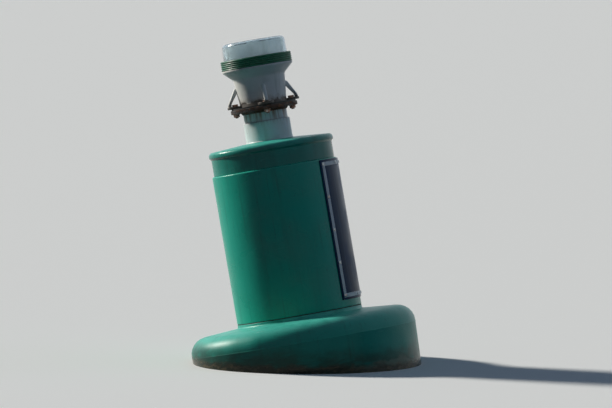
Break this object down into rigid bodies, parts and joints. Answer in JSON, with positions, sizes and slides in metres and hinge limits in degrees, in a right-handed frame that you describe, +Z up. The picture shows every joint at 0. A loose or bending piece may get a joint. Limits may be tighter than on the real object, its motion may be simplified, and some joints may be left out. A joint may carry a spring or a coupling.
{
  "type": "moored can buoy with lantern",
  "caption": "Moored can-shaped navigation buoy: float with a gently sloping deck, cylindrical daymark, lantern on a post, and ballast, rod and swivel below the waterline.",
  "frame": {"origin": "on the buoy's axis at its still waterline", "axes": "+Z up along the buoy's axis, the pictured front faces -Y, and the number panel is on the +X side"},
  "size_m": [0.7964, 0.7962, 1.8465],
  "materials": {
    "float_plastic": "satin moulded polyethylene",
    "can_plastic": "satin moulded polyethylene",
    "white_plastic": "satin moulded plastic",
    "panel_dark": "glossy sheet",
    "panel_light": "reflective tape",
    "rusty_steel": "rusted, dark",
    "rubber": "matt",
    "galvanised_steel": "hot dip galvanised, dull",
    "cast_iron": "tarred casting",
    "green_lens": "moulded green acrylic",
    "clear_lens": "clear acrylic",
    "solar_cell": "silicon cells under glass"
  },
  "bodies": {
    "buoy": {"float_hull": "float_plastic", "foot_gasket": "rubber", "daymark_can": "can_plastic", "can_cap": "can_plastic", "number_panel": "panel_dark", "panel_border": "panel_light", "lantern_post": "white_plastic", "post_flange": "rusty_steel", "flange_gasket": "rubber", "lantern_bolts": "galvanised_steel", "lantern_base": "white_plastic", "lens_band": "green_lens", "lens_cover": "clear_lens", "cell_tray": "white_plastic", "solar_cells": "solar_cell", "ballast_disc_1": "cast_iron", "ballast_disc_2": "cast_iron", "ballast_disc_3": "cast_iron", "ballast_disc_4": "cast_iron", "clamp_plate": "galvanised_steel", "mooring_rod": "galvanised_steel", "rod_nut": "galvanised_steel"},
    "jaw": {"swivel_jaw": "galvanised_steel", "jaw_pin": "galvanised_steel", "jaw_nut": "galvanised_steel"},
    "swivel": {"swivel_eye": "galvanised_steel", "swivel_head": "galvanised_steel"}
  },
  "joints": [
    {"name": "jaw_swing", "type": "hinge", "parent": "buoy", "child": "jaw", "pos_m": [0, 0, -0.514], "axis": [0, 1, 0], "range_deg": [-75, 75]},
    {"name": "swivel_turn", "type": "hinge", "parent": "jaw", "child": "swivel", "pos_m": [0, 0, -0.514], "axis": [0, 0, 1], "continuous": true}
  ]
}
